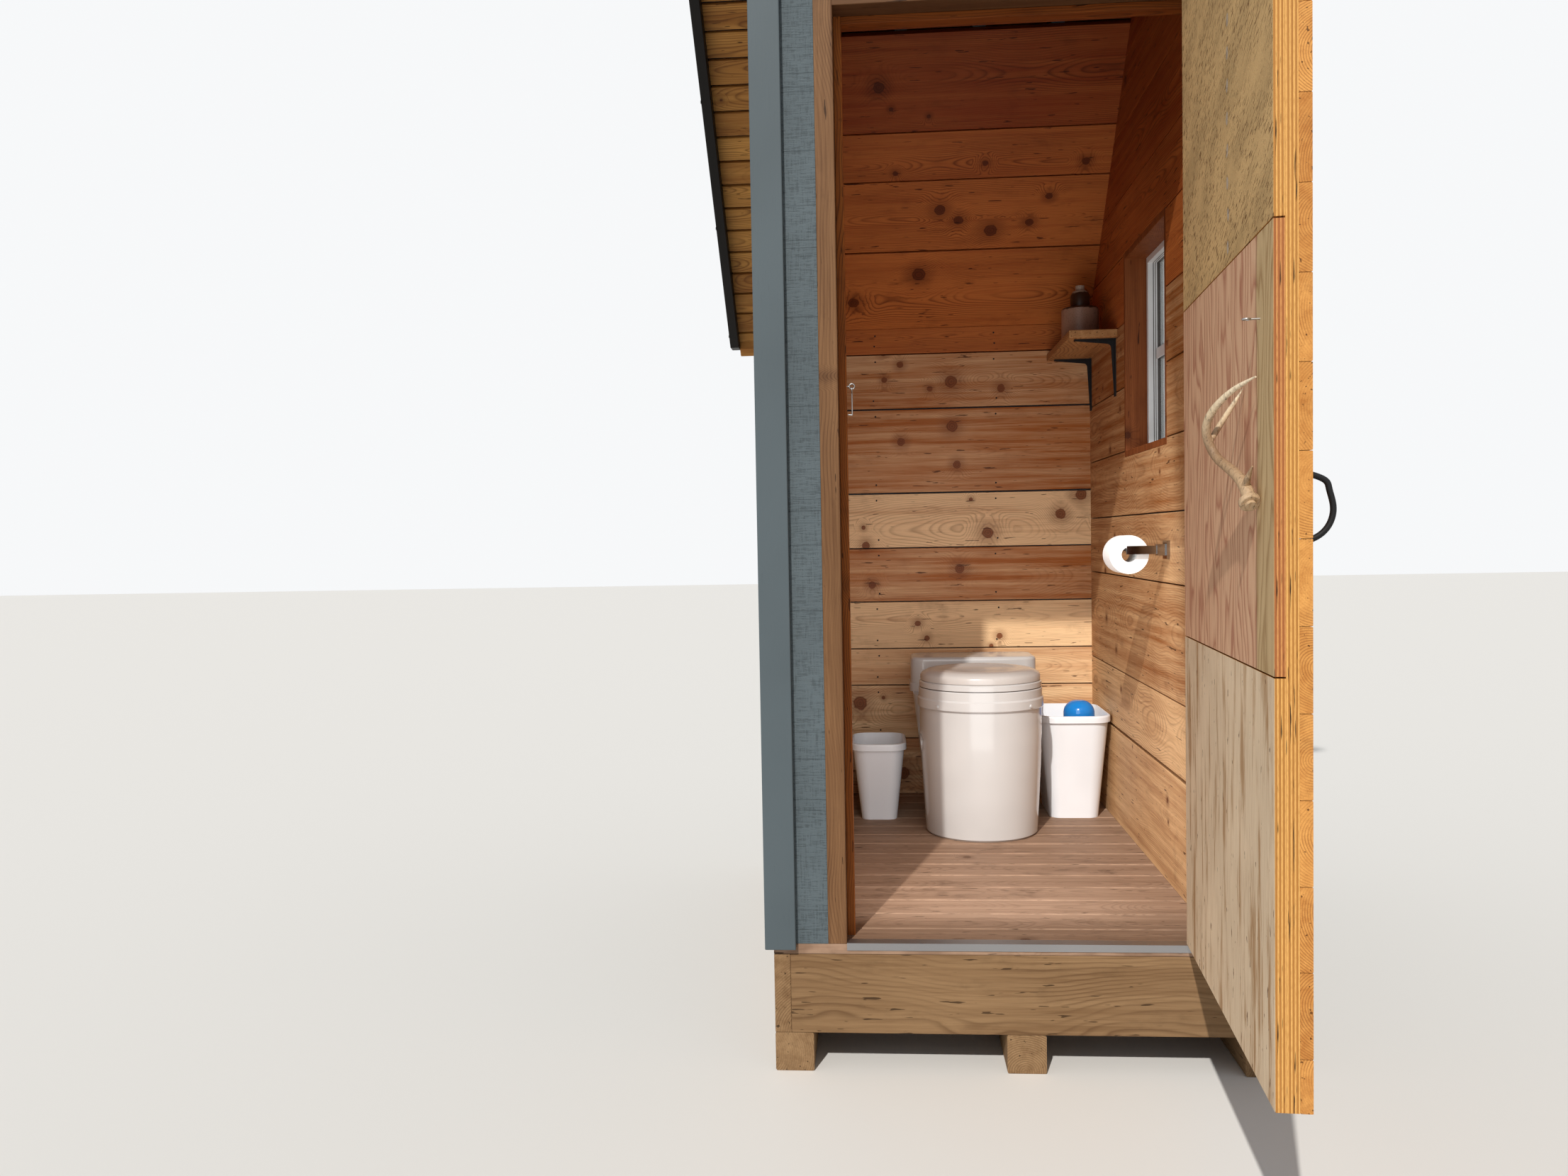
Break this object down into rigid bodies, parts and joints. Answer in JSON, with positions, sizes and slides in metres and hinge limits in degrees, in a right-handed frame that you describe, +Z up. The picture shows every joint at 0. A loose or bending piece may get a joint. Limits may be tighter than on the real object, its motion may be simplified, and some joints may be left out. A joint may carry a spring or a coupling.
{
  "type": "outhouse",
  "caption": "Tall timber outhouse with a steep one-slope roof, an open hinged door, a side window, board lining, a toilet, bins, a shelf and a paper roll.",
  "frame": {"origin": "on the ground in the middle of the plan, under the middle skid", "axes": "+Z up, the door's wall faces -Y, +X to the right seen from the front"},
  "size_m": [1.722, 2.7045, 4.1583],
  "materials": {
    "sawn_timber": "rough sawn",
    "floor_pine": "worn oil stain",
    "blue_siding": "textured paint",
    "blue_trim": "smooth satin paint",
    "stained_pine": "satin stain",
    "stained_soffit": "satin stain",
    "black_trim": "satin paint",
    "light_pine": "satin varnish",
    "weathered_ply": "bare and weathered",
    "warm_ply": "bare",
    "door_core": "bare",
    "roof_steel": "satin",
    "grey_metal": "worn mill finish",
    "hardware_steel": "dull plating",
    "black_iron": "satin",
    "chrome": "polished",
    "white_vinyl": "satin",
    "clear_glass": "clear",
    "white_plastic": "gloss",
    "bin_plastic": "satin",
    "blue_plastic": "gloss",
    "stoneware": null,
    "paper": "soft",
    "antler": null
  },
  "bodies": {
    "outhouse": {"skids": "sawn_timber", "rim_boards": "sawn_timber", "floor_joists": "sawn_timber", "floor_boards": "floor_pine", "threshold_strip": "grey_metal", "front_wall_sides": "blue_siding", "front_wall_over_door": "blue_siding", "left_wall": "blue_siding", "right_wall": "blue_siding", "back_wall": "blue_siding", "back_lining": "stained_pine", "side_linings": "stained_pine", "ceiling_lining": "stained_pine", "painted_trims": "blue_trim", "rafters": "sawn_timber", "roof_deck": "stained_soffit", "rake_fascias": "black_trim", "cross_fascias": "stained_soffit", "roof_sheet": "roof_steel", "door_frame": "light_pine", "frame_hinges": "hardware_steel", "hook_eye": "hardware_steel", "window_reveal": "light_pine", "window_frame": "white_vinyl", "window_glass": "clear_glass", "shelf": "stained_pine", "shelf_brackets": "black_iron", "soap_jar": "stoneware", "paper_holder": "chrome", "toilet_body": "white_plastic", "toilet_seat": "white_plastic", "waste_bins": "bin_plastic", "blue_bottle": "blue_plastic"},
    "door": {"door_boards": "stained_pine", "door_core": "door_core", "door_panel_top": "warm_ply", "door_panel_middle": "warm_ply", "door_panel_bottom": "weathered_ply", "antler_handle": "antler", "screw_eye": "hardware_steel", "outer_pull": "black_iron", "door_hinges": "hardware_steel"},
    "toilet_lid": {"toilet_lid": "white_plastic"},
    "paper_roll": {"paper_roll": "paper"},
    "latch_hook": {"latch_hook": "hardware_steel"}
  },
  "joints": [
    {"name": "door_hinge", "type": "hinge", "parent": "outhouse", "child": "door", "pos_m": [0.4225, -0.912, 1.358], "axis": [0, 0, 1], "range_deg": [-85.6, 64.4]},
    {"name": "lid_hinge", "type": "hinge", "parent": "outhouse", "child": "toilet_lid", "pos_m": [-0.007, 0.4048, 0.778], "axis": [-1, 0, 0], "range_deg": [0, 95]},
    {"name": "roll_turn", "type": "hinge", "parent": "outhouse", "child": "paper_roll", "pos_m": [0.339, -0.343, 1.1733], "axis": [0, 1, 0], "continuous": true},
    {"name": "hook_swing", "type": "hinge", "parent": "outhouse", "child": "latch_hook", "pos_m": [-0.377, -0.825, 1.582], "axis": [0, -1, 0], "range_deg": [0, 100]}
  ]
}
